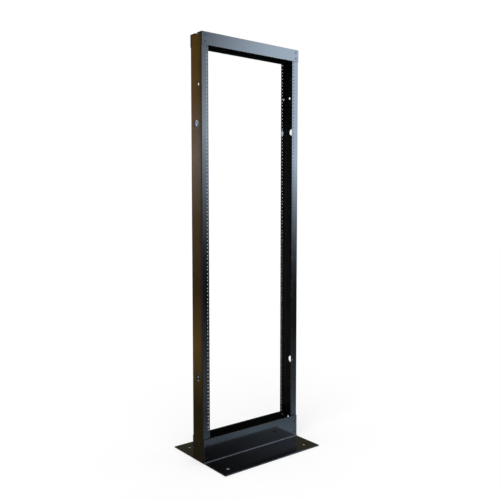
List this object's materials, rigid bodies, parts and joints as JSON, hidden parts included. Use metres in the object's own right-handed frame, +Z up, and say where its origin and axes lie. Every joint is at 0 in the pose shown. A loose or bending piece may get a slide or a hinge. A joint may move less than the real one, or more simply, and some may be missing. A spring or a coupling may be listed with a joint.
{
  "type": "two post open frame rack",
  "caption": "Open frame equipment rack: channel uprights with rows of panel holes, tied by angles at the top and standing on wide floor angles.",
  "frame": {"origin": "on the floor, in the middle of the base", "axes": "+X across the rack to its right, +Y from the front to the rear, +Z up"},
  "size_m": [0.516, 0.381, 1.7526],
  "materials": {
    "black_paint": "gloss",
    "black_screws": "black oxide",
    "black_nuts": "black oxide"
  },
  "bodies": {
    "root": {"left_upright": "black_paint", "right_upright": "black_paint", "front_top_angle": "black_paint", "rear_top_angle": "black_paint", "front_base_angle": "black_paint", "rear_base_angle": "black_paint", "top_front_left_bolts": "black_screws", "top_front_left_nuts": "black_nuts", "top_front_right_bolts": "black_screws", "top_front_right_nuts": "black_nuts", "top_rear_left_bolts": "black_screws", "top_rear_left_nuts": "black_nuts", "top_rear_right_bolts": "black_screws", "top_rear_right_nuts": "black_nuts", "base_front_left_bolts": "black_screws", "base_front_left_nuts": "black_nuts", "base_front_right_bolts": "black_screws", "base_front_right_nuts": "black_nuts", "base_rear_left_bolts": "black_screws", "base_rear_left_nuts": "black_nuts", "base_rear_right_bolts": "black_screws", "base_rear_right_nuts": "black_nuts"}
  },
  "joints": []
}
